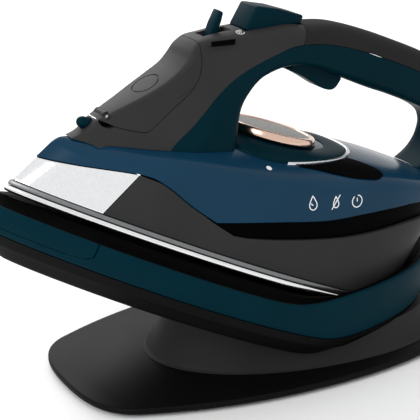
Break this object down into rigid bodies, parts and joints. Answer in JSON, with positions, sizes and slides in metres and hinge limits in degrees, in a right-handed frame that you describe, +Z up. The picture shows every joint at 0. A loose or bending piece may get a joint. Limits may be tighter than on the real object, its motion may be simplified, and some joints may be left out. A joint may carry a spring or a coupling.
{
  "type": "cordless steam iron on a charging dock",
  "caption": "Cordless steam iron parked nose-up on its charging dock, with a filler door, spray and steam controls and a temperature dial; the iron lifts off the dock.",
  "frame": {"origin": "centre of the footprint of the bounding box, on the surface that the dock stands on", "axes": "+Z up, -X towards the nose of the iron, +X towards its heel; Y = 0 is the plane of symmetry"},
  "size_m": [0.3102, 0.147, 0.2019],
  "materials": {
    "charcoal": "fine-textured charcoal moulding",
    "black": "black moulding",
    "gloss_black": "glossy black moulding",
    "soft_grip": "soft-touch grained grip",
    "teal": "satin dark teal moulding",
    "tank_blue": "smoked dark blue translucent tank",
    "chrome": "polished",
    "steel": "plain",
    "copper": "polished rose-gold plating",
    "grey_metal": "satin grey",
    "aluminium": "as cast",
    "brass": "contact plating",
    "rubber": "matt",
    "circuit_green": "coated board",
    "silver": "satin silver lacquer"
  },
  "bodies": {
    "dock": {"tray_band": "teal", "tray_front_panel": "teal", "tray_lower_shell": "black", "tray_liner": "gloss_black", "rest_pad_front": "rubber", "rest_pad_left": "rubber", "rest_pad_right": "rubber", "contact_socket": "black", "foot_front_left": "rubber", "foot_front_right": "rubber", "foot_rear_left": "rubber", "foot_rear_right": "rubber", "base_screw_front": "steel", "base_screw_rear": "steel", "base_plate": "black", "base_bottom_cover": "charcoal", "cord_gland": "rubber", "pedestal": "charcoal"},
    "iron": {"soleplate": "chrome", "heat_shield": "grey_metal", "heater_casting": "aluminium", "heating_element": "steel", "steam_chamber_lid": "steel", "thermostat": "steel", "nose_trim": "chrome", "skirt": "charcoal", "heel_cover": "black", "body_recess": "gloss_black", "water_tank": "tank_blue", "front_cover": "charcoal", "handle_grip": "soft_grip", "handle_inner_shell": "teal", "filler_door_pin": "steel", "filler_funnel": "black", "spray_nozzle": "teal", "spray_pump": "black", "trigger_pin": "steel", "shot_pump": "black", "deck_lip": "silver", "deck_inlay_left": "gloss_black", "deck_inlay_right": "gloss_black", "indicator_window": "gloss_black", "contact_block": "black", "contact_plate_1": "brass", "contact_plate_2": "brass", "control_board": "circuit_green"},
    "lock": {"lock_button": "black"},
    "contacts": {"contact_carrier": "black", "contact_pin_1": "brass", "contact_pin_2": "brass"},
    "door": {"filler_door": "charcoal"},
    "lever": {"steam_lever": "teal"},
    "valve": {"valve_rod": "black"},
    "spray": {"spray_button": "teal", "spray_piston": "steel"},
    "trigger": {"steam_trigger": "teal"},
    "shot": {"shot_piston": "black"},
    "dial": {"dial_rim": "copper", "dial_face": "grey_metal", "dial_shaft": "black"}
  },
  "joints": [
    {"name": "iron_lift", "type": "slide", "parent": "dock", "child": "iron", "axis": [0, 0, 1], "range_m": [0, 0.15]},
    {"name": "lock_press", "type": "slide", "parent": "dock", "child": "lock", "axis": [1, 0, 0], "range_m": [0, 0.002], "stiffness_N_per_m": 400},
    {"name": "contact_press", "type": "slide", "parent": "dock", "child": "contacts", "axis": [1, 0, 0], "range_m": [0, 0.0015], "stiffness_N_per_m": 600},
    {"name": "door_hinge", "type": "hinge", "parent": "iron", "child": "door", "pos_m": [-0.08089, 0, 0.15342], "axis": [0, -1, 0], "range_deg": [0, 75]},
    {"name": "lever_pivot", "type": "hinge", "parent": "iron", "child": "lever", "pos_m": [-0.01623, 0, 0.17956], "axis": [0, 1, 0], "range_deg": [-10, 10]},
    {"name": "valve_slide", "type": "slide", "parent": "iron", "child": "valve", "axis": [0.4147, 0, 0.91], "range_m": [-0.00208, 0.00208]},
    {"name": "spray_press", "type": "slide", "parent": "iron", "child": "spray", "axis": [-0.4147, 0, -0.91], "range_m": [0, 0.003], "stiffness_N_per_m": 500},
    {"name": "trigger_pivot", "type": "hinge", "parent": "iron", "child": "trigger", "pos_m": [0.03938, 0, 0.17136], "axis": [0, -1, 0], "range_deg": [0, 8], "stiffness_Nm_per_rad": 0.3, "springref_deg": -5.73},
    {"name": "shot_slide", "type": "slide", "parent": "iron", "child": "shot", "axis": [0.4147, 0, 0.91], "range_m": [0, 0.00195]},
    {"name": "dial_turn", "type": "hinge", "parent": "iron", "child": "dial", "pos_m": [0.02212, 0, 0.13109], "axis": [0.309, 0, 0.9511], "range_deg": [0, 270]}
  ],
  "couplings": [
    {"joint": "lever_pivot", "follows": "valve_slide", "rad_per_m": 84.03},
    {"joint": "trigger_pivot", "follows": "shot_slide", "rad_per_m": 71.43}
  ]
}
